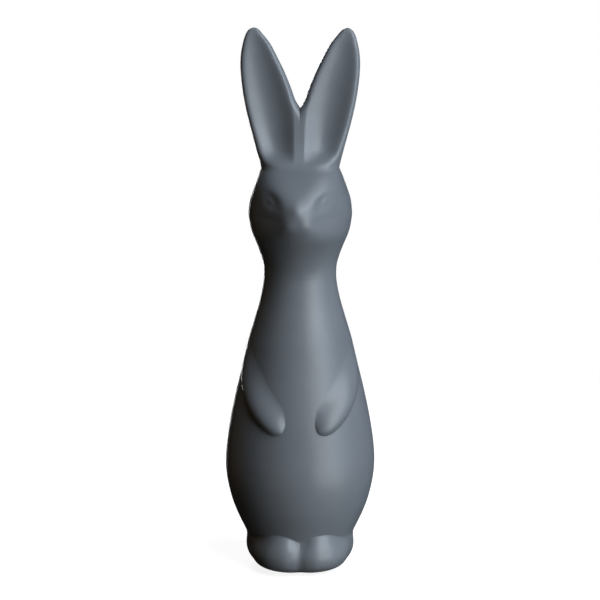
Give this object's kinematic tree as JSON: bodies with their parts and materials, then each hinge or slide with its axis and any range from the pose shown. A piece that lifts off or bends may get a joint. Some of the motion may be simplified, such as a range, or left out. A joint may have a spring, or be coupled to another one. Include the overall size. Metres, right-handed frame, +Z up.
{
  "type": "rabbit figurine",
  "caption": "Slim standing rabbit ornament in satin ceramic, with upright scooped ears, forepaws folded over a round belly, two rounded feet and the head turned slightly to one side.",
  "frame": {"origin": "on the table under the middle of the torso, level with the undersides of the felt pads", "axes": "+Z up towards the ears, the rabbit faces -Y, +X towards the right of the picture"},
  "size_m": [0.0828, 0.085, 0.3],
  "materials": {
    "glaze": "satin",
    "felt": "matte"
  },
  "bodies": {
    "root": {"torso": "glaze", "head": "glaze", "left_ear": "glaze", "right_ear": "glaze", "left_forepaw": "glaze", "right_forepaw": "glaze", "left_foot": "glaze", "right_foot": "glaze", "tail": "glaze", "felt_pad_front_left": "felt", "felt_pad_front_right": "felt", "felt_pad_back_left": "felt", "felt_pad_back_right": "felt"}
  },
  "joints": []
}
